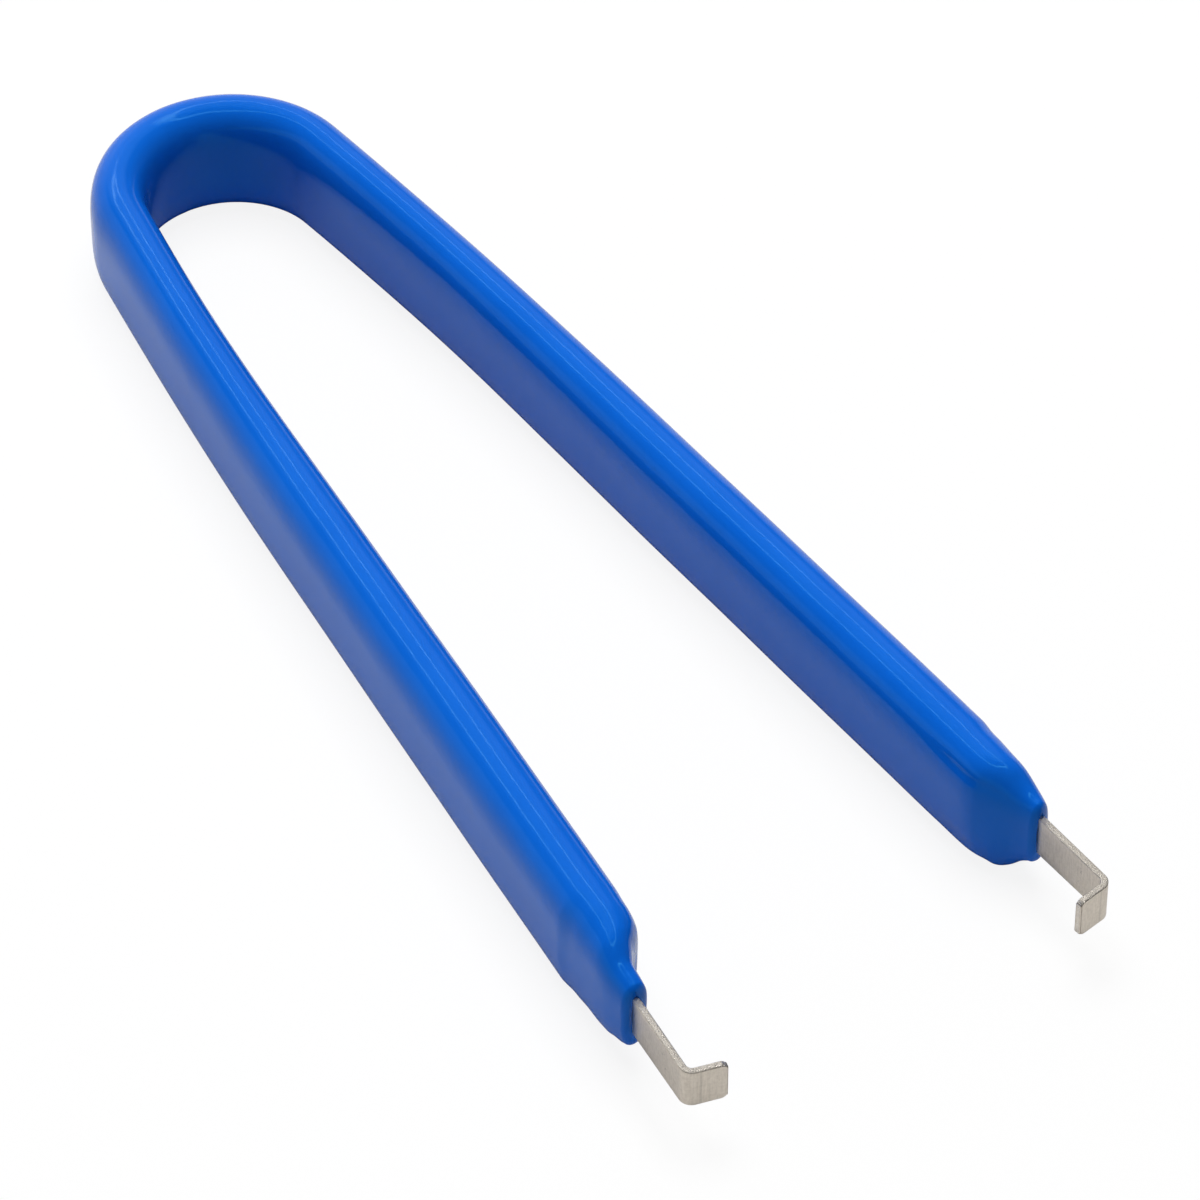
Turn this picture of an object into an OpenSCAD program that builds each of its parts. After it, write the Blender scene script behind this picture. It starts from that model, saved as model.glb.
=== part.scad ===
// Keyboard switch puller: one strip of spring steel bent to a U, with a hooked jaw on each end,
// dipped in soft vinyl from the bend down to the jaws.
// It lies on its long edge. X runs from the bend to the jaws, Y from arm to arm, Z up.
// The origin is on the surface that it lies on, under the middle of its box. Millimetres and degrees.

/* [Bend and arms] */
// Radius of the bend, to the middle of the steel
bend_r = 10.35; // [8:0.05:16]
// Lean of each arm away from the middle line where it leaves the bend
arm_splay = 8.1; // [6:0.1:10]
// Length of the bowed stretch that follows the bend
bow_len = 33; // [20:1:50]
// Turn of the bowed stretch back towards the middle line
bow_turn = 3.9; // [1:0.1:5]
// Length of the straight stretch from the bow to the end of the coating
straight_len = 66.5; // [45:0.5:80]

/* [Steel strip] */
// Thickness of the steel
steel_t = 0.6; // [0.4:0.05:0.8]
// Width of the strip inside the coating
body_w = 7.6; // [6.5:0.1:8]
// How far the strip's middle sits above the coating's middle
strip_rise = 0.2; // [0:0.05:0.4]
// Distance from the strip's shoulder to the end of the coating
shoulder_back = 6.4; // [6:0.1:8]
// Radius in the corner where the shoulder meets the jaw
shoulder_fillet = 1; // [0.5:0.1:1.2]

/* [Jaws] */
// Width of the jaw where it leaves the coating
jaw_w = 4; // [3.6:0.1:4.2]
// Width of the hook at the end of the jaw
hook_w = 3.7; // [3:0.1:4]
// Bare length of the jaw from the coating to the hook's bend
jaw_len = 7.7; // [5:0.1:12]
// Radius of the hook's bend, to the middle of the steel
hook_r = 0.8; // [0.6:0.05:1.5]
// Angle that the hook is bent through
hook_turn = 82; // [70:1:90]
// Straight length of the hook beyond its bend
hook_len = 2.6; // [1.5:0.1:3.5]
// Radius of the hook's free corners
hook_corner_r = 0.6; // [0.3:0.05:0.9]

/* [Coating] */
// Height of the coated grip, which is the width of the arms
coat_h = 11; // [10.4:0.1:13]
// Thickness of the coated grip near the jaws, through both skins and the steel
coat_t = 5.6; // [4.8:0.1:6.2]
// How much thinner the coated grip is where it is thinnest, on the bow
coat_dip = 0.8; // [0:0.1:1.2]
// Distance from the apex of the bend to where the coated grip is thinnest
dip_at = 24.5; // [15:0.5:40]
// Length over which the coated grip thickens again on either side
dip_len = 30; // [15:1:32]
// How far the coating's middle lies inside the steel's middle
coat_inset = 0.75; // [0:0.05:0.8]
// Fullness of the coating's section, from 2 for an ellipse to 6 for nearly flat sides
section_power = 4; // [3:0.1:6]
// Length over which the coated grip narrows to the neck
neck_len = 9.5; // [8.5:0.1:12]
// Skin left round the steel at the neck
neck_skin = 0.75; // [0.5:0.05:1]

/* [Smoothness] */
// Step along the bend of the coated grip
bend_step = 5; // [3:1:10]
// Points round each quarter of the coating's section
quarter_steps = 7; // [5:1:9]
// Rings over the length of the neck
neck_rings = 18; // [12:1:24]

/* [Hidden] */
$fn = 48;

// Radius of the bow and distance along the steel from the apex of the bend to the end of each stretch
bow_r = bow_len * 180 / (PI * bow_turn);
tip_dir = arm_splay - bow_turn;
s_bend = bend_r * (90 - arm_splay) * PI / 180;
s_bow = s_bend + bow_len;
s_coat = s_bow + straight_len;
s_jaw = s_coat + jaw_len;
s_hook = s_jaw + hook_r * hook_turn * PI / 180;
s_end = s_hook + hook_len;

// Place and heading reached from p by a turn of radius r towards the middle line, over the length d
function turn_on(p, r, d) =
    let (t = d / r * 180 / PI)
    [p.x + r * (sin(p.z) - sin(p.z - t)), p.y - r * (cos(p.z) - cos(p.z - t)), p.z - t];
// Place and heading reached from p straight on, over the length d
function go_on(p, d) = [p.x + d * cos(p.z), p.y + d * sin(p.z), p.z];

// Ends of the stretches, each as x, y and heading, with the bend centred on x = 0
at_apex = [-bend_r, 0, 90];
at_bend = turn_on(at_apex, bend_r, s_bend);
at_bow = turn_on(at_bend, bow_r, bow_len);
at_coat = go_on(at_bow, straight_len);
at_jaw = go_on(at_coat, jaw_len);
at_hook = turn_on(at_jaw, hook_r, s_hook - s_jaw);
at_end = go_on(at_hook, hook_len);

// Place and heading of the steel's middle line on the +Y arm, at the distance s from the apex
function station(s) =
    s <= s_bend ? turn_on(at_apex, bend_r, s)
    : s <= s_bow ? turn_on(at_bend, bow_r, s - s_bend)
    : s <= s_jaw ? go_on(at_bow, s - s_bow)
    : s <= s_hook ? turn_on(at_jaw, hook_r, s - s_jaw)
    : go_on(at_hook, s - s_hook);
// Point beside a station, by out away from the middle line
function beside(p, out) = [p.x - out * sin(p.z), p.y + out * cos(p.z)];
function mirrored(points) = [for (p = points) [p.x, -p.y]];
function reversed(list) = [for (i = [len(list) - 1 : -1 : 0]) list[i]];
function steps(from, to, n) = [for (i = [0 : n]) from + (to - from) * i / n];

// Depths of the coating inside and outside the steel's middle at the distance s, where it is the full section
function thinning(s) = coat_dip / 2 * exp(-pow((s - dip_at) / dip_len, 2));
function depth_in(s) = coat_t / 2 + coat_inset - thinning(s);
function depth_out(s) = coat_t / 2 - coat_inset - thinning(s);

// The part's reach along X, and the shift that puts the middle of its box on the origin
reach_back = at_apex.x - depth_out(0);
reach_front = max(beside(at_end, steel_t / 2).x, at_jaw.x + (hook_r + steel_t / 2) * (1 - cos(hook_turn)));
shift_x = -(reach_back + reach_front) / 2;
mid_z = coat_h / 2;
x_shoulder = at_coat.x - shoulder_back;
over = 1;

// Distances from the apex at which the steel's outline has a point
bow_steps = 8;
hook_steps = 12;
steel_stations = concat(
    steps(0, s_bend, ceil((90 - arm_splay) / bend_step * 2)),
    steps(s_bend, s_bow, bow_steps),
    steps(s_jaw, s_hook, hook_steps),
    [s_end]);

// Plan of the steel: its outer face out to one jaw, back along the inner face, and the same on the other arm
module steel_plan() {
    outer = [for (s = steel_stations) beside(station(s), steel_t / 2)];
    inner = [for (s = steel_stations) beside(station(s), -steel_t / 2)];
    polygon(concat(reversed(outer), mirrored(outer), reversed(mirrored(inner)), inner));
}

// What is cut from the strip's upper side to leave the shoulder, its fillet and the tapered jaw
module jaw_notch() {
    x_jaw = x_shoulder + shoulder_fillet;
    rotate([90, 0, 0])
        linear_extrude(height = 2 * at_bow.y + 2 * bend_r, center = true)
            union() {
                polygon([
                    [x_jaw, jaw_w / 2],
                    [reach_front + over, hook_w / 2],
                    [reach_front + over, body_w],
                    [x_jaw, body_w]]);
                translate([x_shoulder, jaw_w / 2 + shoulder_fillet])
                    square([shoulder_fillet + over, body_w]);
                translate([x_jaw, jaw_w / 2 + shoulder_fillet])
                    circle(r = shoulder_fillet);
            }
}

// What is cut from the upper free corner of the +Y hook to round it
module hook_corner_cut() {
    r = hook_corner_r;
    translate([at_end.x, at_end.y, hook_w / 2])
        rotate([0, 0, at_end.z])
            translate([-r, 0, -r])
                rotate([90, 0, 0])
                    linear_extrude(height = 2 * steel_t, center = true)
                        difference() {
                            square([r + over, r + over]);
                            circle(r = r);
                        }
}

// The whole strip, with the bend centred on x = 0 and the coating's middle at z = 0
module strip_form() {
    translate([0, 0, strip_rise])
        difference() {
            linear_extrude(height = body_w, center = true)
                steel_plan();
            for (side = [0, 1])
                mirror([0, 0, side]) {
                    jaw_notch();
                    for (arm = [0, 1])
                        mirror([0, arm, 0])
                            hook_corner_cut();
                }
        }
}

// How the coating's end is formed. Each row has the distance back from the end as a share of neck_len, then
// how much of the drop from the full section to the neck is done there at the top, the bottom, the upper and the
// lower half of the inner side, and the outer side.
end_forms = [
    [1.00, 0.00, 0.00, 0.00, 0.00, 0.00],
    [0.70, 0.02, 0.02, 0.03, 0.00, 0.24],
    [0.52, 0.09, 0.06, 0.13, 0.03, 0.40],
    [0.42, 0.28, 0.12, 0.36, 0.10, 0.47],
    [0.32, 0.78, 0.26, 1.06, 0.30, 0.54],
    [0.22, 0.97, 0.52, 1.18, 0.62, 0.60],
    [0.12, 0.87, 0.80, 0.95, 0.94, 0.68],
    [0.04, 0.86, 0.82, 0.94, 0.94, 0.80],
    [0.00, 1.00, 0.94, 1.10, 1.06, 1.04]];
neck_h = jaw_w / 2 + neck_skin;
neck_t = steel_t / 2 + neck_skin;

// Smooth blend of the end's forms at a share of neck_len, by a curve through four neighbours
function form_index(share) = max([for (i = [0 : len(end_forms) - 2]) end_forms[i][0] >= share ? i : 0]);
function blend(a, b, c, d, t) =
    b + 0.5 * t * (c - a + t * (2 * a - 5 * b + 4 * c - d + t * (3 * (b - c) + d - a)));
function end_form(share) =
    share >= 1 ? end_forms[0]
    : let (
        i = form_index(share),
        b = end_forms[i],
        c = end_forms[i + 1])
    blend(
        end_forms[max(i - 1, 0)], b, c, end_forms[min(i + 2, len(end_forms) - 1)],
        (b[0] - share) / (b[0] - c[0]));
function mix(a, b, t) = a + (b - a) * t;

// One ring of the coating at the distance s: an oval across the arm, on the side of Y given by arm
function ring(s, arm) =
    let (
        p = station(s),
        form = end_form((s_coat - s) / neck_len),
        top = mix(coat_h / 2, neck_h + strip_rise, form[1]),
        bottom = mix(coat_h / 2, neck_h - strip_rise, form[2]),
        outer = mix(depth_out(s), neck_t, form[5]))
    [for (k = [0 : 4 * quarter_steps - 1])
        let (
            a = 90 * k / quarter_steps,
            up = sign(sin(a)) * pow(abs(sin(a)), 2 / section_power),
            inner = mix(depth_in(s), neck_t, mix(form[4], form[3], (1 + up) / 2)),
            q = beside(p, (outer - inner) / 2 + (outer + inner) / 2 * cos(a)))
        [q.x, arm * q.y, up > 0 ? top * up : bottom * up]];

straight_rings = 4;
arm_stations = concat(
    steps(0, s_bend, ceil((90 - arm_splay) / bend_step)),
    [for (i = [1 : bow_steps]) s_bend + bow_len * i / bow_steps],
    [for (i = [1 : straight_rings]) s_bow + (straight_len - neck_len) * i / straight_rings],
    [for (i = [1 : neck_rings]) s_coat - neck_len * (1 - i / neck_rings)]);

// Skin of the coating, from the end on the -Y arm round the bend to the end on the +Y arm
module coating_form() {
    last = len(arm_stations) - 1;
    rings = concat(
        [for (i = [last : -1 : 1]) ring(arm_stations[i], -1)],
        [for (i = [0 : last]) ring(arm_stations[i], 1)]);
    n = len(rings[0]);
    m = len(rings);
    polyhedron(
        points = [for (one = rings) for (q = one) q],
        faces = concat(
            [[for (j = [0 : n - 1]) j]],
            [for (i = [0 : m - 2]) for (j = [0 : n - 1])
                [i * n + j, (i + 1) * n + j, (i + 1) * n + (j + 1) % n, i * n + (j + 1) % n]],
            [[for (j = [n - 1 : -1 : 0]) (m - 1) * n + j]]));
}

// Spring strip with the hooked jaws
module steel_strip() {
    color([0.72, 0.70, 0.67])
        translate([shift_x, 0, mid_z])
            strip_form();
}

// Dipped vinyl grip, with the strip's own form taken out of it
module grip_coating() {
    color([0.10, 0.42, 0.85])
        translate([shift_x, 0, mid_z])
            difference() {
                coating_form();
                strip_form();
            }
}

steel_strip();
grip_coating();
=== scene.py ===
"""Looks of a keyboard switch puller: a bent steel strip with hooked jaws, dipped in blue vinyl.

Sizes are in millimetres, and become metres only where a mesh is made.
"""

import logging
import math
from dataclasses import dataclass
from enum import Enum, IntEnum
from typing import Sequence, Union

import bpy
import numpy as np
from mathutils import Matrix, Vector


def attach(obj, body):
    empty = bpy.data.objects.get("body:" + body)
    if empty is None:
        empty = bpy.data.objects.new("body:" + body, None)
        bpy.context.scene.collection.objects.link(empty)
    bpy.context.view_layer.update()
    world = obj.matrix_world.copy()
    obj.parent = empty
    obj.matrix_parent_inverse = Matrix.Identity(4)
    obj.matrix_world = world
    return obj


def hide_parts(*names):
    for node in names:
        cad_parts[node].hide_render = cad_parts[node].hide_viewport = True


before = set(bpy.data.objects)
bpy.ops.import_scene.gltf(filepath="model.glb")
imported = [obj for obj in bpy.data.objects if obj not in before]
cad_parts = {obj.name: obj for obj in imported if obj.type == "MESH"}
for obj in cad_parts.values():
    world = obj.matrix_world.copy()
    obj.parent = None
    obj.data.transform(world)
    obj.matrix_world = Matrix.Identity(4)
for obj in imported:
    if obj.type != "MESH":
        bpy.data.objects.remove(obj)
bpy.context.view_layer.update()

MM = 0.001
PER_MM = (1000.0, 1000.0, 1000.0)
LOG = logging.getLogger("switch_puller")

COAT_HEIGHT = 11.0
STRIP_RISE = 0.2
NOISE_MIDDLE = 0.5
MIX_SHARE, MIX_FIRST, MIX_SECOND, MIX_RESULT = 0, 6, 7, 2  # the Mix node's sockets for colours

Array = np.ndarray
Triple = tuple[float, float, float]
Colour = Triple
Span = tuple[float, float]

X_AXIS: Triple = (1.0, 0.0, 0.0)
Y_AXIS: Triple = (0.0, 1.0, 0.0)
Z_AXIS: Triple = (0.0, 0.0, 1.0)


# ---------------------------------------------------------------- shader expressions


class Texture(Enum):
    """Coordinates that a finish may read."""

    OBJECT = "Object"
    UV = "UV"


@dataclass(frozen=True)
class Pattern:
    """Smooth noise: waves for each millimetre, octaves, and the share of each finer octave."""

    scale: float
    detail: float
    roughness: float = 0.5


class Expr:
    """A node's output that can be used in Python arithmetic; each operator adds one Math node."""

    def __init__(self, shader: "Shader", socket: bpy.types.NodeSocket | None) -> None:
        """Wraps one output socket of the shader's tree, or none for a node that has no output."""
        self.shader = shader
        self.socket = socket

    def _math(self, operation: str, *values: "Value") -> "Expr":
        """Adds a Math node.

        Args:
            operation: The Math node's operation.
            values: Its inputs, in order.

        Returns:
            The node's result.
        """
        return self.shader.node("ShaderNodeMath", {"operation": operation}, dict(enumerate(values)))

    def __add__(self, other: "Value") -> "Expr":
        """self + other."""
        return self._math("ADD", self, other)

    def __radd__(self, other: "Value") -> "Expr":
        """other + self."""
        return self._math("ADD", other, self)

    def __sub__(self, other: "Value") -> "Expr":
        """self - other."""
        return self._math("SUBTRACT", self, other)

    def __rsub__(self, other: "Value") -> "Expr":
        """other - self."""
        return self._math("SUBTRACT", other, self)

    def __mul__(self, other: "Value") -> "Expr":
        """self * other."""
        return self._math("MULTIPLY", self, other)

    def __rmul__(self, other: "Value") -> "Expr":
        """other * self."""
        return self._math("MULTIPLY", other, self)

    def __truediv__(self, other: "Value") -> "Expr":
        """self / other."""
        return self._math("DIVIDE", self, other)

    def __pow__(self, other: "Value") -> "Expr":
        """self ** other."""
        return self._math("POWER", self, other)

    def __abs__(self) -> "Expr":
        """abs(self)."""
        return self._math("ABSOLUTE", self)

    def largest(self, other: "Value") -> "Expr":
        """The larger of self and other."""
        return self._math("MAXIMUM", self, other)

    def ease(self, start: float, end: float) -> "Expr":
        """Smooth step.

        Args:
            start: Where the result is 0; it lies above end where the result falls.
            end: Where the result is 1.

        Returns:
            0 to 1, with level ends.
        """
        settings = {"interpolation_type": "SMOOTHSTEP", "clamp": True}
        if start <= end:
            return self.shader.node(
                "ShaderNodeMapRange", settings, {"Value": self, "From Min": start, "From Max": end}
            )
        return 1.0 - self.ease(end, start)


Value = Union[Expr, float]


def rgba(colour: Colour) -> tuple[float, float, float, float]:
    """A colour with full opacity, as sockets take it."""
    return (*colour, 1.0)


class Shader:
    """A node tree with one method that adds any node."""

    def __init__(self, tree: bpy.types.NodeTree) -> None:
        """Empties the tree and keeps it."""
        self.tree = tree
        tree.nodes.clear()

    def node(
        self,
        kind: str,
        settings: dict[str, object] | None = None,
        inputs: dict[Union[str, int], object] | None = None,
        output: Union[str, int] = 0,
    ) -> Expr:
        """Adds a node.

        Args:
            kind: The node's type.
            settings: Its properties, set first.
            inputs: Values or expressions by socket name or number.
            output: The output to return.

        Returns:
            The chosen output as an expression.
        """
        made = self.tree.nodes.new(kind)
        for name, value in (settings or {}).items():
            setattr(made, name, value)
        for name, value in (inputs or {}).items():
            socket = made.inputs[name]
            if isinstance(value, Expr):
                self.tree.links.new(value.socket, socket)
            else:
                socket.default_value = value
        return Expr(self, made.outputs[output] if made.outputs else None)

    def attribute(self, name: str) -> Expr:
        """The value that a mesh holds at each point under a name."""
        return self.node("ShaderNodeAttribute", {"attribute_name": name}, output="Fac")

    def place(self, source: Texture, scale: Triple) -> Expr:
        """Coordinates for a pattern.

        Args:
            source: Which coordinates are read.
            scale: Multiplies them along each axis.

        Returns:
            The vector of scaled coordinates.
        """
        raw = self.node("ShaderNodeTexCoord", output=source.value)
        return self.node("ShaderNodeMapping", inputs={"Vector": raw, "Scale": scale})

    def noise(self, vector: Expr, pattern: Pattern) -> Expr:
        """Smooth noise.

        Args:
            vector: Coordinates.
            pattern: Its scale and octaves.

        Returns:
            A value about NOISE_MIDDLE.
        """
        inputs = {
            "Vector": vector,
            "Scale": pattern.scale,
            "Detail": pattern.detail,
            "Roughness": pattern.roughness,
        }
        return self.node("ShaderNodeTexNoise", inputs=inputs)

    def blend(self, share: Value, first: object, second: object) -> Expr:
        """Mixes two colours.

        Args:
            share: How much of the second shows.
            first: Colour or expression at share 0.
            second: Colour or expression at share 1.

        Returns:
            The mixed colour.
        """
        ends = [value if isinstance(value, Expr) else rgba(value) for value in (first, second)]
        return self.node(
            "ShaderNodeMix",
            {"data_type": "RGBA", "clamp_factor": True},
            {MIX_SHARE: share, MIX_FIRST: ends[0], MIX_SECOND: ends[1]},
            output=MIX_RESULT,
        )

    def mix(self, share: Value, first: Expr, second: Expr) -> Expr:
        """Mixes two closures.

        Args:
            share: How much of the second shows.
            first: Closure at share 0.
            second: Closure at share 1.

        Returns:
            The mixed closure.
        """
        return self.node("ShaderNodeMixShader", inputs={0: share, 1: first, 2: second})

    def bump(self, height: Expr, depth: float, under: Expr | None = None) -> Expr:
        """Turns a height into a normal.

        Args:
            height: Height from 0 to 1.
            depth: What a height of 1 stands for, in millimetres.
            under: A normal that this one is laid on.

        Returns:
            The changed normal.
        """
        inputs = {"Height": height, "Distance": depth * MM, "Strength": 1.0}
        if under is not None:
            inputs["Normal"] = under
        return self.node("ShaderNodeBump", inputs=inputs)

    def dot(self, vector: Expr, axis: Triple) -> Expr:
        """Scalar product of a vector and a fixed axis."""
        settings = {"operation": "DOT_PRODUCT"}
        return self.node("ShaderNodeVectorMath", settings, {0: vector, 1: axis}, output="Value")

    def surface(self, closure: Expr, target: str = "ShaderNodeOutputMaterial") -> None:
        """Links a closure to the tree's output."""
        self.node(target, inputs={"Surface": closure})


# ---------------------------------------------------------------- finishes


def new_material(name: str) -> tuple[bpy.types.Material, Shader]:
    """Makes a material with an empty tree.

    Args:
        name: The material's name.

    Returns:
        The material and its shader.
    """
    material = bpy.data.materials.new(name)
    material.use_nodes = True
    return material, Shader(material.node_tree)


@dataclass(frozen=True)
class VinylFinish:
    """Glossy dipped vinyl: one deep blue, with slow waves and a fine orange peel left by the dip.

    A span is the pattern's values between which it comes to show, and a depth is in millimetres.
    """

    colour: Colour = (0.003, 0.128, 0.670)
    pale: Colour = (0.004, 0.134, 0.685)
    sheen: Colour = (0.12, 0.72, 1.0)
    roughness: float = 0.10
    roughness_swing: float = 0.06
    ior: float = 1.43
    cloud: Pattern = Pattern(0.11, 2.0)
    cloud_span: Span = (0.35, 0.65)
    peel: Pattern = Pattern(1.3, 2.0, 0.4)
    peel_depth: float = 0.0035
    wave: Pattern = Pattern(0.22, 1.0)
    wave_depth: float = 0.06

    def make(self) -> bpy.types.Material:
        """Makes the material.

        Returns:
            The material.
        """
        material, shader = new_material("blue_vinyl")
        place = shader.place(Texture.OBJECT, PER_MM)
        cloud = shader.noise(place, self.cloud)
        peel = shader.noise(place, self.peel)
        wave = shader.noise(place, self.wave)
        normal = shader.bump(wave, self.wave_depth)
        normal = shader.bump(peel, self.peel_depth, under=normal)
        inputs = {
            "Base Color": shader.blend(cloud.ease(*self.cloud_span), self.colour, self.pale),
            "Roughness": self.roughness + (peel - NOISE_MIDDLE) * self.roughness_swing,
            "Specular Tint": rgba(self.sheen),
            "IOR": self.ior,
            "Normal": normal,
        }
        shader.surface(shader.node("ShaderNodeBsdfPrincipled", inputs=inputs))
        return material


@dataclass(frozen=True)
class SteelFinish:
    """Satin rolled spring steel: grain across the strip, scuffs from bending, a darker line across
    the flats at the hook's bend, and torn edges lighter in colour, partly real and partly a painted
    highlight, with painted glint spots.

    A span is the pattern's values between which it comes to show, a share is how much of it shows,
    a depth is in millimetres, and crease_at and rub_at are distances along the strip.
    """

    colour: Colour = (0.840, 0.765, 0.665)
    dull: Colour = (0.680, 0.610, 0.520)
    bright: Colour = (0.980, 0.920, 0.830)
    soot: Colour = (0.060, 0.052, 0.045)
    roughness: float = 0.36
    roughness_swing: float = 0.16
    mottle: Pattern = Pattern(3.2, 3.0, 0.6)
    mottle_share: float = 0.4
    mottle_depth: float = 0.010
    grain: Pattern = Pattern(1.0, 3.0, 0.65)
    grain_scale: Triple = (7.0, 0.7, 1.0)
    grain_share: float = 0.6
    grain_depth: float = 0.005
    tone_span: Span = (0.30, 0.70)
    speck: Pattern = Pattern(16.0, 2.0, 0.7)
    speck_span: Span = (0.66, 0.74)
    speck_share: float = 0.5
    stain_span: Span = (0.60, 0.74)
    stain_share: float = 0.35
    stain_on_arm: float = 0.25
    stain_on_hook: float = 0.5
    crease_at: float = 123.5
    crease_span: Span = (0.16, 0.02)
    crease_share: float = 0.13
    rub_at: float = 119.6
    rub_span: Span = (0.7, 0.1)
    rub_share: float = 0.45
    scuff: Pattern = Pattern(2.6, 3.0, 0.7)
    scuff_span: Span = (0.58, 0.66)
    # how far the torn edges go towards the lighter colour: partly real sheared steel, partly a
    # painted highlight
    edge_and_highlight_share: float = 0.55
    grit: Pattern = Pattern(7.0, 3.0, 0.7)
    grit_depth: float = 0.06
    spark_span: Span = (0.50, 0.62)
    # how far the grit spots on the edges go towards the lighter colour, a painted glint
    painted_glint_share: float = 0.4
    spark_polish: float = 0.12

    def make(self) -> bpy.types.Material:
        """Makes the material.

        Returns:
            The material.
        """
        material, shader = new_material("spring_steel")
        place = shader.place(Texture.UV, (1.0, 1.0, 1.0))
        along = abs(shader.dot(place, X_AXIS))
        edge = shader.attribute("edge")
        hook = shader.attribute("hook")
        mottle = shader.noise(place, self.mottle)
        grain = shader.noise(shader.place(Texture.UV, self.grain_scale), self.grain)
        speck = shader.noise(place, self.speck)
        scuff = shader.noise(place, self.scuff)
        grit = shader.noise(shader.place(Texture.OBJECT, PER_MM), self.grit)
        # grit spots on the torn edges: painted glints in colour, and really less rough
        spark = grit.ease(*self.spark_span) * edge
        stain = mottle.ease(*self.stain_span) * (self.stain_on_arm + hook * self.stain_on_hook)
        # a darker line across the flats at the hook's bend, blended towards the soot colour
        crease = abs(along - self.crease_at).ease(*self.crease_span) * (1.0 - edge)
        rub = abs(along - self.rub_at).ease(*self.rub_span) * scuff.ease(*self.scuff_span)
        uneven = (grain * self.grain_share + mottle * self.mottle_share).ease(*self.tone_span)
        tone = shader.blend(uneven, self.colour, self.dull)
        tone = shader.blend(speck.ease(*self.speck_span) * self.speck_share, tone, self.soot)
        tone = shader.blend(stain * self.stain_share, tone, self.dull)
        tone = shader.blend(crease * self.crease_share + rub * self.rub_share, tone, self.soot)
        # painted highlight: the torn edges, and painted glints on them, blended towards the lighter
        # colour; partly the real colour of sheared steel
        tone = shader.blend(edge * self.edge_and_highlight_share + spark * self.painted_glint_share, tone, self.bright)
        normal = shader.bump(grain, self.grain_depth)
        normal = shader.bump(mottle, self.mottle_depth, under=normal)
        normal = shader.bump(grit * edge, self.grit_depth, under=normal)
        swing = (mottle - NOISE_MIDDLE) * self.roughness_swing
        inputs = {
            "Base Color": tone,
            "Metallic": 1.0,
            "Roughness": self.roughness + swing - spark * self.spark_polish,
            "Normal": normal,
        }
        shader.surface(shader.node("ShaderNodeBsdfPrincipled", inputs=inputs))
        return material


@dataclass(frozen=True)
class FloorFinish:
    """Pale table paper; the camera sees it as nearly lit by itself, with a faint shadow."""

    colour: Colour = (0.64, 0.64, 0.64)
    seen_colour: Colour = (0.95, 0.95, 0.95)
    glow: float = 1.0
    glow_share: float = 0.88

    def make(self) -> bpy.types.Material:
        """Makes the material.

        Returns:
            The material.
        """
        material, shader = new_material("table_paper")
        seen = shader.node("ShaderNodeLightPath", output="Is Camera Ray")
        paper = shader.node("ShaderNodeBsdfDiffuse", inputs={"Color": rgba(self.colour)})
        white = shader.node("ShaderNodeBsdfDiffuse", inputs={"Color": rgba(self.seen_colour)})
        glow = shader.node("ShaderNodeEmission", inputs={"Strength": self.glow})
        shader.surface(shader.mix(seen, paper, shader.mix(self.glow_share, white, glow)))
        return material


# ---------------------------------------------------------------- the strip's path


class Stretch(IntEnum):
    """The stretches of an arm, from the apex of the bend to the tip."""

    BEND = 0
    BOW = 1
    STRAIGHT = 2
    JAW = 3
    CREASE = 4
    HOOK = 5


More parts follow.
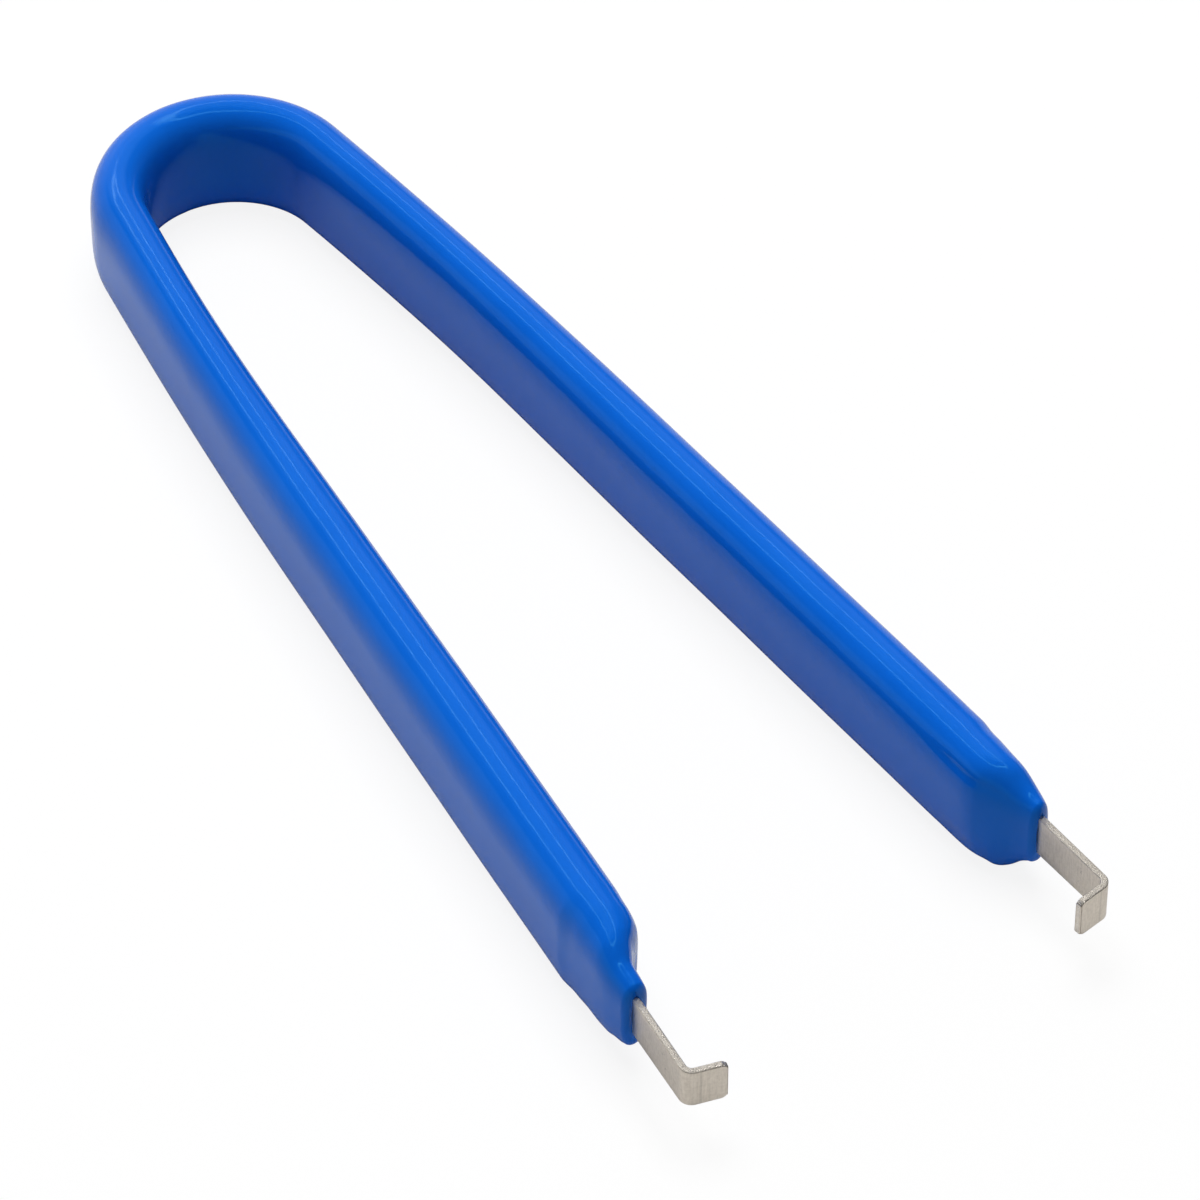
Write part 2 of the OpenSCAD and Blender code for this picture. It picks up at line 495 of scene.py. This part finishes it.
@dataclass(frozen=True)
class StripPath:
    """Plan of the steel's middle line: bend, bow, straight arm, then the hooked jaw."""

    bend_r: float = 10.35
    arm_splay: float = 8.1
    bow_len: float = 33.0
    bow_turn: float = 3.9
    straight_len: float = 66.5
    jaw_len: float = 7.7
    hook_r: float = 0.8
    hook_turn: float = 82.0
    hook_len: float = 2.6
    shift_x: float = -47.417327
    samples: int = 24001

    @property
    def ends(self) -> Array:
        """Where the stretches end.

        Returns:
            Distance from the apex of the bend to the end of each stretch.
        """
        lengths = [
            self.bend_r * math.radians(90.0 - self.arm_splay),
            self.bow_len,
            self.straight_len,
            self.jaw_len,
            self.hook_r * math.radians(self.hook_turn),
            self.hook_len,
        ]
        return np.cumsum(lengths)

    @property
    def coat_end(self) -> float:
        """Distance from the apex to the end of the coating."""
        return float(self.ends[Stretch.STRAIGHT])

    @property
    def tip(self) -> float:
        """Distance from the apex to the tip of the hook."""
        return float(self.ends[Stretch.HOOK])

    def heading(self, s: Array) -> Array:
        """Heading: 90 degrees at the apex, then less by each stretch's turn in proportion.

        Args:
            s: Distances from the apex, 0 or more.

        Returns:
            Headings in radians.
        """
        places = np.concatenate([[0.0], self.ends])
        turns = [0.0, 90.0 - self.arm_splay, self.bow_turn, 0.0, 0.0, self.hook_turn, 0.0]
        return np.radians(90.0 - np.interp(s, places, np.cumsum(turns)))

    def at(self, s: Array) -> tuple[Array, Array, Array]:
        """Places and headings: the integral of the heading's cosine and sine from the apex.

        Args:
            s: Distances from the apex; a negative distance is on the -Y arm.

        Returns:
            x, y and heading at that distance on the +Y arm, whichever arm s is on.
        """
        fine = np.linspace(0.0, self.tip, self.samples)
        mid = self.heading((fine[1:] + fine[:-1]) / 2.0)
        step = np.diff(fine)
        x = np.concatenate([[0.0], np.cumsum(np.cos(mid) * step)]) - self.bend_r + self.shift_x
        y = np.concatenate([[0.0], np.cumsum(np.sin(mid) * step)])
        far = np.abs(s)
        return np.interp(far, fine, x), np.interp(far, fine, y), self.heading(far)

    def place(self, s: Array, out: Array, z: Array) -> Array:
        """Points beside the path: the place at s, moved by out square to the heading.

        Args:
            s: Distances from the apex, negative on the -Y arm.
            out: Distances outwards from the middle line.
            z: Heights.

        Returns:
            Points, one to a row of the last axis.
        """
        x, y, heading = self.at(s)
        side = np.where(s < 0.0, -1.0, 1.0)
        along = x - out * np.sin(heading)
        across = side * (y + out * np.cos(heading))
        return np.stack(np.broadcast_arrays(along, across, z), axis=-1)


# ---------------------------------------------------------------- meshes


def put_mesh(
    name: str, points: Array, faces: list[Array], material: bpy.types.Material
) -> bpy.types.Object:
    """Makes a smooth mesh object from whole arrays.

    Args:
        name: The object's name.
        points: Points in millimetres, one to a row.
        faces: Arrays of corner numbers, one face to a row.
        material: Its finish.

    Returns:
        The object, at the origin.
    """
    mesh = bpy.data.meshes.new(name)
    corners = np.concatenate([part.ravel() for part in faces]).astype(np.int32)
    counts = np.concatenate([np.full(len(part), part.shape[1]) for part in faces])
    starts = np.concatenate([[0], np.cumsum(counts)[:-1]]).astype(np.int32)
    mesh.vertices.add(len(points))
    mesh.vertices.foreach_set("co", (points * MM).astype(np.float32).ravel())
    mesh.loops.add(len(corners))
    mesh.loops.foreach_set("vertex_index", corners)
    mesh.polygons.add(len(counts))
    mesh.polygons.foreach_set("loop_start", starts)
    mesh.polygons.foreach_set("use_smooth", np.ones(len(counts), bool))
    mesh.update(calc_edges=True)
    mesh.validate()
    mesh.materials.append(material)
    made = bpy.data.objects.new(name, mesh)
    bpy.context.scene.collection.objects.link(made)
    return made


def tube_faces(rings: int, around: int) -> list[Array]:
    """Faces of a closed tube: quads between neighbouring rings, and a fan to a pole at each end.

    Args:
        rings: Number of rings.
        around: Points in a ring.

    Returns:
        Quads, then the triangles at the first and last pole, which are the last two points.
    """
    spoke = np.arange(around)
    after = (spoke + 1) % around
    ring = np.arange(rings - 1)[:, None] * around
    corners = [ring + spoke, ring + around + spoke, ring + around + after, ring + after]
    quads = np.stack(corners, axis=-1).reshape(-1, 4)
    first, last = rings * around, rings * around + 1
    base = (rings - 1) * around
    start = np.stack([np.full(around, first), spoke, after], axis=-1)
    end = np.stack([np.full(around, last), base + after, base + spoke], axis=-1)
    return [quads, np.concatenate([start, end])]


def spread(places: Sequence[float], steps: Sequence[float]) -> Array:
    """Distances along a path, evenly spaced within each stretch.

    Args:
        places: Ends of the stretches, rising.
        steps: Largest spacing in each stretch.

    Returns:
        Rising distances with both ends.
    """
    parts = []
    for start, end, step in zip(places[:-1], places[1:], steps):
        count = max(1, math.ceil((end - start) / step))
        parts.append(np.linspace(start, end, count + 1)[:-1])
    return np.concatenate([*parts, [places[-1]]])


def hump(x: Array, centre: float, width: float) -> Array:
    """A smooth bump of height 1: exp(-((x - centre) / width)^2)."""
    return np.exp(-(((x - centre) / width) ** 2))


def signed_root(x: Array) -> Array:
    """The root of x's size, with x's sign."""
    return np.sign(x) * np.sqrt(np.abs(x))


# ---------------------------------------------------------------- dipped grip


@dataclass(frozen=True)
class Hollow:
    """A shallow dent in an arm's inner side.

    The height is a share of the coating's half height, back is a distance from the coating's end,
    and each has the width of its hump.
    """

    depth: float
    height: float
    height_width: float
    back: float
    back_width: float

    def depths(self, height: Array, back: Array) -> Array:
        """The dent's depth: depth times a hump over the height times a hump along the arm.

        Args:
            height: Heights as shares of the coating's half height.
            back: Distances from the coating's end.

        Returns:
            Depths.
        """
        over = hump(height, self.height, self.height_width)
        return self.depth * over * hump(back, self.back, self.back_width)


@dataclass
class GripCoating:
    """The dipped vinyl grip, carried along the strip from one neck round the bend to the other.

    The section is height by thick and stands inwards of the strip by inset. It is thinner by dip
    round dip_at. Each end is rounded by edge_r and closed by rings that go from the skin at a
    lip_share of 0 to the steel at 1, lip_ahead of the coating's end. near_dents is the share of the
    hollows that the -Y arm has, and flat_sink the share of all unevenness at the top and bottom.

    near_form and far_form shape the ends of the -Y and the +Y arm. Each row holds a distance back
    from the end as a share of neck_len, and how far the top, bottom, upper inner, lower inner and
    outer side have gone from the full section to the neck's.
    """

    path: StripPath
    finish: VinylFinish = VinylFinish()
    height: float = COAT_HEIGHT
    thick: float = 5.6
    dip: float = 0.8
    dip_at: float = 24.5
    dip_len: float = 30.0
    inset: float = 0.75
    power: float = 4.0
    neck_len: float = 9.5
    neck_h: float = 2.75
    neck_t: float = 1.05
    strip_rise: float = STRIP_RISE
    edge_r: float = 0.45
    roll_share: float = 0.98
    around: int = 88
    angle_samples: int = 4001
    turn_weight: float = 1.8
    fine_from: tuple[float, float] = (12.0, 6.5)
    roll_margin: float = 0.05
    ring_steps: tuple[float, ...] = (0.42, 0.60, 0.22, 0.14, 0.05)
    wave_depth: float = 0.012
    wave_per_mm: tuple[float, float] = (0.31, 0.17)
    wave_turn: float = 0.4
    wave_lift: float = 2.2
    near_phase: float = 1.7
    groove: Hollow = Hollow(0.16, 0.70, 0.06, 6.6, 3.6)
    hollow: Hollow = Hollow(0.20, -0.62, 0.20, 6.6, 2.4)
    near_dents: float = 0.25
    fade_len: float = 2.0
    flat_sink: float = 0.6
    seat_half: tuple[float, float] = (0.30, 1.93)
    lip_share: tuple[float, ...] = (0.12, 0.28, 0.45, 0.62, 0.78, 0.91, 0.99, 1.05, 1.05)
    lip_ahead: tuple[float, ...] = (0.015, 0.015, 0.0, -0.025, -0.055, -0.08, -0.10, -0.15, -0.50)
    near_form: tuple[tuple[float, ...], ...] = (
        (1.00, 0.00, 0.00, 0.00, 0.00, 0.00),
        (0.85, 0.02, 0.06, 0.03, 0.04, 0.20),
        (0.72, 0.04, 0.11, 0.05, 0.08, 0.27),
        (0.60, 0.10, 0.20, 0.13, 0.22, 0.33),
        (0.50, 0.15, 0.31, 0.32, 0.70, 0.37),
        (0.42, 0.23, 0.40, 0.56, 1.00, 0.40),
        (0.34, 0.38, 0.46, 0.74, 1.08, 0.45),
        (0.26, 0.56, 0.50, 0.88, 1.08, 0.52),
        (0.18, 0.68, 0.56, 0.90, 0.90, 0.64),
        (0.10, 0.76, 0.62, 0.90, 0.98, 0.80),
        (0.04, 0.83, 0.71, 0.92, 1.02, 0.92),
        (0.00, 0.90, 0.81, 1.02, 1.07, 1.00),
    )
    far_form: tuple[tuple[float, ...], ...] = (
        (1.00, 0.00, 0.00, 0.00, 0.00, 0.00),
        (0.85, 0.00, 0.00, 0.00, 0.00, 0.20),
        (0.72, 0.00, 0.00, 0.00, 0.00, 0.26),
        (0.60, 0.01, 0.02, 0.02, 0.02, 0.36),
        (0.50, 0.05, 0.06, 0.12, 0.07, 0.41),
        (0.42, 0.12, 0.05, 0.30, 0.20, 0.44),
        (0.34, 0.25, 0.05, 0.50, 0.32, 0.50),
        (0.26, 0.45, 0.22, 0.66, 0.52, 0.56),
        (0.18, 0.63, 0.50, 0.80, 0.76, 0.66),
        (0.10, 0.74, 0.71, 0.94, 0.92, 0.84),
        (0.04, 0.78, 0.83, 1.03, 1.00, 1.06),
        (0.00, 0.82, 0.92, 1.08, 1.06, 1.28),
    )

    def angles(self) -> Array:
        """Section angles, spaced by the section's arc length plus a share for its turning.

        The section is the oval |z/h|^power + (out/t)^2 = 1: z = h sin^(2/power) and out = t cos.

        Returns:
            Angles in radians, rising from 0 and under one turn.
        """
        dense = np.linspace(0.0, math.pi / 2.0, self.angle_samples)
        out = self.thick / 2.0 * np.cos(dense)
        z = self.height / 2.0 * self.rise(dense)
        step = np.hypot(np.diff(out), np.diff(z))
        turn = np.abs(np.diff(np.unwrap(np.arctan2(np.diff(z), np.diff(out)))))
        weighed = step + self.turn_weight * np.concatenate([turn, [0.0]])
        measure = np.concatenate([[0.0], np.cumsum(weighed)])
        quarter = self.around // 4
        wanted = np.linspace(0.0, measure[-1], quarter + 1)
        first = np.interp(wanted, measure, dense)
        half = np.concatenate([first, math.pi - first[-2::-1]])
        return np.concatenate([half, 2.0 * math.pi - half[-2:0:-1]])

    def rise(self, angle: Array) -> Array:
        """Height as a share of the section's half height: |sin|^(2/power), with the sine's sign."""
        return np.sign(np.sin(angle)) * np.abs(np.sin(angle)) ** (2.0 / self.power)

    @staticmethod
    def drops(share: Array, form: Sequence[Sequence[float]]) -> Array:
        """How far an end has gone from the full section to the neck.

        Between the rows b and c, with a before and d after them, it is the smooth curve
        b + t/2 (c - a + t (2a - 5b + 4c - d + t (3 (b - c) + d - a))) for t from 0 to 1.

        Args:
            share: Distances back from the end as a share of neck_len.
            form: The rows, from the full section to the end.

        Returns:
            For each share, its five drops.
        """
        rows = np.array(form)
        place = rows[:, 0]
        here = np.clip(share, 0.0, 1.0)
        last = len(place) - 1
        i = np.clip(last - np.searchsorted(place[::-1], here, side="right"), 0, last - 1)
        t = ((place[i] - here) / (place[i] - place[i + 1]))[..., None]
        a = rows[np.maximum(i - 1, 0), 1:]
        b = rows[i, 1:]
        c = rows[i + 1, 1:]
        d = rows[np.minimum(i + 2, last), 1:]
        return b + 0.5 * t * (c - a + t * (2 * a - 5 * b + 4 * c - d + t * (3 * (b - c) + d - a)))

    def section(self, s: Array, angle: Array) -> tuple[Array, Array]:
        """Offsets of the skin from the strip: an oval whose depths are blended towards the neck.

        Args:
            s: Distances from the apex, of any sign, as a column.
            angle: Section angles, as a row.

        Returns:
            Distances away from the middle line, and heights above the coating's middle.
        """
        far = np.abs(s)
        share = (self.path.coat_end - far[:, 0]) / self.neck_len
        near_drop, far_drop = (self.drops(share, form) for form in (self.near_form, self.far_form))
        drop = np.where(s < 0.0, near_drop, far_drop)[:, None, :]
        top_drop, bottom_drop, upper_drop, lower_drop, outer_drop = np.moveaxis(drop, -1, 0)
        thin = self.dip / 2.0 * hump(far, self.dip_at, self.dip_len)
        up = self.rise(angle)
        full_h = self.height / 2.0
        top = full_h + (self.neck_h + self.strip_rise - full_h) * top_drop
        bottom = full_h + (self.neck_h - self.strip_rise - full_h) * bottom_drop
        inner_drop = lower_drop + (upper_drop - lower_drop) * (1.0 + up) / 2.0
        inner_full = self.thick / 2.0 + self.inset - thin
        outer_full = self.thick / 2.0 - self.inset - thin
        inner = inner_full + (self.neck_t - inner_full) * inner_drop
        outer = outer_full + (self.neck_t - outer_full) * outer_drop
        out = (outer - inner) / 2.0 + (outer + inner) / 2.0 * np.cos(angle)
        return out, np.where(up > 0.0, top, bottom) * up

    def lumps(self, s: Array, angle: Array) -> Array:
        """Unevenness left by the dip: two slow waves, and two hollows beside the neck.

        The waves are sin(k s + phase) cos(angle - turn) and sin(k s + 2 angle + phase). They are
        lifted so that the skin only ever stands in from its true form.

        Args:
            s: Distances from the apex, of any sign, as a column.
            angle: Section angles, as a row.

        Returns:
            Distances by which the skin stands in.
        """
        back = self.path.coat_end - np.abs(s)
        phase = np.where(s < 0.0, self.near_phase, 0.0)
        across, twist = self.wave_per_mm
        waves = np.sin(across * s + phase) * np.cos(angle - self.wave_turn)
        waves = waves + np.sin(twist * s + 2.0 * angle + phase)
        inner = np.clip(-np.cos(angle), 0.0, 1.0)
        height = self.rise(angle)
        dents = self.groove.depths(height, back) + self.hollow.depths(height, back)
        share = np.where(s > 0.0, 1.0, self.near_dents)
        fade = np.clip(back / self.fade_len, 0.0, 1.0)
        return (self.wave_depth * (waves + self.wave_lift) + share * dents * inner) * fade

    def skin(self, s: Array, angle: Array) -> tuple[Array, Array]:
        """The section with its end rounded: drawn in by the roll times the root of cos or sin.

        Args:
            s: Distances from the apex, of any sign, as a column.
            angle: Section angles, as a row.

        Returns:
            Distances away from the middle line, and heights above the coating's middle.
        """
        out, z = self.section(s, angle)
        roll = self.roll(s)
        return out - roll * signed_root(np.cos(angle)), z - roll * signed_root(np.sin(angle))

    def points(self) -> tuple[Array, int]:
        """All points of the grip: rings along the path, then each end closed onto the steel.

        Returns:
            Rings' points and the two poles, and the number of rings.
        """
        end = self.path.coat_end
        bend = float(self.path.ends[Stretch.BEND])
        finer, finest = self.fine_from
        roll_from = end - self.edge_r - self.roll_margin
        back = spread([0.0, bend, end - finer, end - finest, roll_from, end], self.ring_steps)
        s = np.concatenate([-back[:0:-1], back])[:, None]
        angle = self.angles()[None, :]
        out, z = self.skin(s, angle)
        sink = self.lumps(s, angle)
        out = out - sink * np.cos(angle)
        z = z - sink * np.sin(angle) * self.flat_sink
        middle = self.path.place(s, out, z + self.height / 2.0)
        near_lip, far_lip = (self.lip(side, angle) for side in (-1.0, 1.0))
        rings = np.concatenate([near_lip[::-1], middle, far_lip])
        poles = np.array([rings[0].mean(0), rings[-1].mean(0)])
        return np.concatenate([rings.reshape(-1, 3), poles]), len(rings)

    def roll(self, s: Array) -> Array:
        """How far the rounded end draws the skin in: r - sqrt(r^2 - k (r - back)^2) in the last r.

        Args:
            s: Distances from the apex, of any sign.

        Returns:
            Distances towards the steel.
        """
        into = np.clip(self.edge_r - (self.path.coat_end - np.abs(s)), 0.0, self.edge_r)
        return self.edge_r - np.sqrt(self.edge_r**2 - self.roll_share * into**2)

    def lip(self, side: float, angle: Array) -> Array:
        """Rings that close one end: from the rounded skin over a slightly hollow face to the steel.

        Args:
            side: -1 for the -Y arm, 1 for the +Y arm.
            angle: Section angles, as a row.

        Returns:
            Rings from the skin's edge inwards.
        """
        end = self.path.coat_end
        out, z = self.skin(np.array([[side * end]]), angle)
        share = np.array(self.lip_share)[:, None]
        ahead = np.array(self.lip_ahead)[:, None]
        half_t, half_w = self.seat_half
        reach = np.maximum(np.abs(np.cos(angle)) / half_t, np.abs(np.sin(angle)) / half_w)
        seat_out = np.cos(angle) / reach
        seat_z = np.sin(angle) / reach + self.strip_rise
        out = out + (seat_out - out) * share
        z = z + (seat_z - z) * share
        s = np.broadcast_to(side * (end + ahead), out.shape)
        return self.path.place(s, out, z + self.height / 2.0)

    def build(self) -> bpy.types.Object:
        """Makes the grip and puts it in place of its plain solid.

        Returns:
            The finished object.
        """
        points, rings = self.points()
        made = put_mesh("dipped_grip", points, tube_faces(rings, self.around), self.finish.make())
        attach(made, "root")
        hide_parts("grip_coating")
        return made


# ---------------------------------------------------------------- spring strip


@dataclass
class SpringStrip:
    """The stamped and bent steel strip, one piece from jaw to jaw.

    A body of body_w narrows to jaw_w at a shoulder inside the coating, then to hook_w at the hook.
    The tip is closed by rings drawn in by cap_inset, at cap_ahead of it. The hook's stain comes in
    from hook_lead before the hook's bend, over hook_fade.
    """

    path: StripPath
    finish: SteelFinish = SteelFinish()
    thick: float = 0.6
    body_w: float = 7.6
    shoulder_back: float = 6.4
    jaw_w: float = 4.0
    hook_w: float = 3.7
    corner_r: float = 0.6
    edge_r: float = 0.11
    rise: float = STRIP_RISE
    height: float = COAT_HEIGHT
    shoulder_len: float = 1.0
    shoulder_power: int = 3
    corner_points: int = 5
    flat_points: int = 5
    torn_gain: float = 1.6
    torn_start: float = 0.3
    ring_steps: tuple[float, ...] = (0.6, 3.0, 0.1, 0.30, 0.05, 0.20, 0.05)
    cap_inset: tuple[float, ...] = (0.0, 0.03, 0.07, 0.11)
    cap_ahead: tuple[float, ...] = (-0.11, -0.045, -0.010, 0.0)
    hook_lead: float = 0.6
    hook_fade: float = 0.8

    def half_width(self, s: Array) -> Array:
        """Half the strip's width: body, shoulder, taper to the hook, and round corners at the tip.

        Args:
            s: Distances from the apex, 0 or more.

        Returns:
            Half widths.
        """
        shoulder = self.path.coat_end - self.shoulder_back
        tapered = [shoulder, self.path.tip - self.path.hook_len]
        taper = np.interp(s, tapered, [self.jaw_w / 2.0, self.hook_w / 2.0])
        to_jaw = (shoulder + self.shoulder_len - s) / self.shoulder_len
        body = np.clip(to_jaw, 0.0, 1.0) ** self.shoulder_power
        width = taper + (self.body_w / 2.0 - taper) * body
        into = np.clip(self.corner_r - (self.path.tip - s), 0.0, self.corner_r)
        return width - (self.corner_r - np.sqrt(self.corner_r**2 - into**2))

    def profile(self, half_w: Array, inset: Array) -> tuple[Array, Array, Array]:
        """Rounded oblong across the strip: flats joined by quarter rounds of edge_r.

        Args:
            half_w: Half widths, as a column.
            inset: How far the whole outline is drawn in, as a column.

        Returns:
            Distances out and up, and how far each point is on the torn edge.
        """
        quarter = np.linspace(0.0, math.pi / 2.0, self.corner_points)
        flat = -np.linspace(-1.0, 1.0, self.flat_points + 2)[1:-1]
        rows: list[tuple[float, float, float, float]] = []
        for corner, (side_x, side_z) in enumerate(((1, 1), (-1, 1), (-1, -1), (1, -1))):
            rows += [(turn + corner * math.pi / 2.0, side_x, side_z, 1.0) for turn in quarter]
            if side_x * side_z < 0:
                facing = math.pi if side_x < 0 else 0.0
                rows += [(facing, side_x, side_z, slide) for slide in flat]
        turns, side_x, side_z, slides = np.array(rows, float).T[:, None, :]
        r = self.edge_r
        out = side_x * (self.thick / 2.0 - r) + (r - inset) * np.cos(turns)
        up = side_z * (half_w - r) * slides + (r - inset) * np.sin(turns)
        torn = np.clip(np.abs(np.sin(turns)) * self.torn_gain - self.torn_start, 0.0, 1.0)
        return out, up, np.broadcast_to(torn, out.shape)

    def build(self) -> bpy.types.Object:
        """Makes the strip and puts it in place of its plain solid.

        Returns:
            The finished object.
        """
        path = self.path
        shoulder = path.coat_end - self.shoulder_back
        bend, jaw, crease = (path.ends[end] for end in (Stretch.BEND, Stretch.JAW, Stretch.CREASE))
        places = [0.0, bend, shoulder, shoulder + self.shoulder_len, jaw, crease]
        far = spread([*places, path.tip - self.corner_r, path.tip], self.ring_steps)
        far = np.concatenate([far[:-1], np.full(len(self.cap_inset), path.tip)])
        before_cap = np.zeros(len(far) - len(self.cap_inset))
        inset = np.concatenate([before_cap, self.cap_inset])
        far = far + np.concatenate([before_cap, self.cap_ahead])
        s = np.concatenate([-far[:0:-1], far])[:, None]
        draw = np.concatenate([inset[:0:-1], inset])[:, None]
        half_w = self.half_width(np.minimum(np.abs(s), path.tip - self.edge_r))
        out, up, edge = self.profile(half_w, draw)
        height = up + self.rise + self.height / 2.0
        rings = path.place(np.broadcast_to(s, out.shape), out, height)
        poles = np.array([rings[0].mean(0), rings[-1].mean(0)])
        points = np.concatenate([rings.reshape(-1, 3), poles])
        faces = tube_faces(len(rings), rings.shape[1])
        made = put_mesh("spring_strip", points, faces, self.finish.make())
        self.mark(made, s, up, edge)
        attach(made, "root")
        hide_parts("steel_strip")
        return made

    def mark(self, made: bpy.types.Object, s: Array, up: Array, edge: Array) -> None:
        """Stores what the finish reads: places on the strip as a UV map, its edges and its hooks.

        Args:
            made: The strip.
            s: Distances along it, as a column.
            up: Heights across it, ring by ring.
            edge: How far each point is on the torn edge.
        """
        mesh = made.data
        along = np.broadcast_to(s, up.shape)
        past_jaw = np.abs(along) - self.path.ends[Stretch.JAW] + self.hook_lead
        hook = np.clip(past_jaw / self.hook_fade, 0.0, 1.0)
        for name, values in (("edge", edge), ("hook", hook)):
            layer = mesh.attributes.new(name, "FLOAT", "POINT")
            at_poles = [1.0, 1.0]
            whole = np.concatenate([values.ravel(), at_poles])
            layer.data.foreach_set("value", whole.astype(np.float32))
        u = np.concatenate([along.ravel(), [s[0, 0], s[-1, 0]]])
        v = np.concatenate([up.ravel(), [0.0, 0.0]])
        pairs = np.stack([u, v], axis=-1)
        corner = np.empty(len(mesh.loops), np.int32)
        mesh.loops.foreach_get("vertex_index", corner)
        uv = mesh.uv_layers.new(name="along_strip")
        uv.data.foreach_set("uv", pairs[corner].astype(np.float32).ravel())


# ---------------------------------------------------------------- studio


@dataclass(frozen=True)
class Tent:
    """The world round the object: pale low down and in a soft panel above, with one thin lit loop.

    A level is how bright a part is, and a span is the values between which it comes to show. The
    low part reaches up to low_top, and low_tilt higher towards low_axis. The panel is round
    panel_axis. The loop lies on a ceiling of height 1, and isn't drawn below least_height.
    """

    dim_level: float = 0.10
    low_level: float = 0.70
    low_top: float = 0.16
    low_axis: Triple = (-0.71, -0.71, 0.0)
    low_tilt: float = 0.30
    low_span: Span = (0.10, -0.06)
    panel_level: float = 0.70
    panel_axis: Triple = (-0.66, 0.23, 0.715)
    panel_span: Span = (0.80, 0.93)
    loop_level: float = 5.0
    loop_centre: tuple[float, float] = (-0.52, 0.09)
    loop_half: tuple[float, float] = (0.68, 0.36)
    loop_power: float = 4.0
    loop_span: Span = (0.10, 0.03)
    least_height: float = 0.05

    def make(self) -> bpy.types.World:
        """Makes the world, which the camera itself sees as plain white.

        Returns:
            The world.
        """
        world = bpy.data.worlds.new("tent")
        world.use_nodes = True
        shader = Shader(world.node_tree)
        way = shader.node("ShaderNodeTexCoord", output="Generated")
        height = shader.dot(way, Z_AXIS)
        tilt = shader.dot(way, self.low_axis) * self.low_tilt
        low = (height - self.low_top - tilt).ease(*self.low_span)
        panel = shader.dot(way, self.panel_axis).ease(*self.panel_span)
        loop = self.loop(shader, way, height)
        level = self.dim_level + low * self.low_level + panel * self.panel_level
        level = level + loop * self.loop_level
        seen = shader.node("ShaderNodeLightPath", output="Is Camera Ray")
        strength = level * (1.0 - seen) + seen
        light = shader.node("ShaderNodeBackground", inputs={"Strength": strength})
        shader.surface(light, "ShaderNodeOutputWorld")
        return world

    def loop(self, shader: Shader, way: Expr, height: Expr) -> Expr:
        """The lit loop, mirrored by the vinyl as fine lines: |x/a|^4 + |y/b|^4 = 1 on the ceiling.

        Args:
            shader: The world's tree.
            way: Directions.
            height: Their upward part.

        Returns:
            1 on the loop and 0 away from it.
        """
        up = height.largest(self.least_height)
        powers = [
            abs((shader.dot(way, axis) / up - centre) / half) ** self.loop_power
            for axis, centre, half in zip((X_AXIS, Y_AXIS), self.loop_centre, self.loop_half)
        ]
        rim = (powers[0] + powers[1]) ** (1.0 / self.loop_power)
        return abs(rim - 1.0).ease(*self.loop_span)


@dataclass
class Studio:
    """Table, one soft lamp, the tent round them, and the camera.

    The target and the distance are in millimetres; the table and the lamp are in metres.
    """

    target: Triple = (9.3905, 2.8463, 5.5)
    distance: float = 570.35
    elevation: float = 0.7686
    azimuth: float = -0.5441
    focal_px: float = 7001.16
    frame_px: float = 1200.0
    sensor: float = 36.0
    clip: tuple[float, float] = (0.01, 20.0)
    floor_half: float = 1.6
    floor_gap: float = 0.00002
    lamp_place: Triple = (-0.25, 0.10, 0.95)
    lamp_size: float = 0.7
    lamp_power: float = 7.8

    def back(self) -> Vector:
        """Direction from the object to the camera.

        Returns:
            A vector of length 1.
        """
        level = math.cos(self.elevation)
        x, y = math.cos(self.azimuth) * level, math.sin(self.azimuth) * level
        return Vector((x, y, math.sin(self.elevation)))

    def camera(self) -> None:
        """Makes the camera at the photograph's viewing angle."""
        data = bpy.data.cameras.new("camera")
        data.sensor_width = self.sensor
        data.lens = self.focal_px / self.frame_px * self.sensor
        data.clip_start, data.clip_end = self.clip
        made = bpy.data.objects.new("camera", data)
        made.rotation_mode = "QUATERNION"
        made.location = Vector(self.target) * MM + self.back() * self.distance * MM
        made.rotation_quaternion = (-self.back()).to_track_quat("-Z", "Y")
        bpy.context.scene.collection.objects.link(made)
        bpy.context.scene.camera = made

    def floor(self) -> None:
        """Makes the table: one square sheet just under the part."""
        corners = np.array([[-1, -1, 0], [1, -1, 0], [1, 1, 0], [-1, 1, 0]]) * self.floor_half
        points = (corners - [0.0, 0.0, self.floor_gap]) / MM
        made = put_mesh("table", points, [np.array([[0, 1, 2, 3]])], FloorFinish().make())

    def lamp(self) -> None:
        """Makes a soft disc lamp that faces the part and isn't mirrored in it."""
        data = bpy.data.lights.new("overhead", "AREA")
        data.shape = "DISK"
        data.size = self.lamp_size
        data.energy = self.lamp_power
        made = bpy.data.objects.new("overhead", data)
        made.location = self.lamp_place
        made.rotation_mode = "QUATERNION"
        made.rotation_quaternion = Vector(self.lamp_place).to_track_quat("Z", "Y")
        made.visible_glossy = False
        bpy.context.scene.collection.objects.link(made)

    def build(self) -> None:
        """Makes the whole studio and sets the view's colour handling."""
        self.camera()
        self.floor()
        self.lamp()
        bpy.context.scene.world = Tent().make()
        bpy.context.scene.view_settings.view_transform = "Standard"


def report(piece: bpy.types.Object) -> None:
    """Logs a piece's name and number of faces."""
    LOG.info("%s: %d faces", piece.name, len(piece.data.polygons))


def main() -> None:
    """Builds the strip, the grip and the studio, in that order."""
    logging.basicConfig(level=logging.INFO, format="%(message)s")
    path = StripPath()
    for piece in (SpringStrip(path), GripCoating(path)):
        report(piece.build())
    Studio().build()


if __name__ == "__main__":
    main()
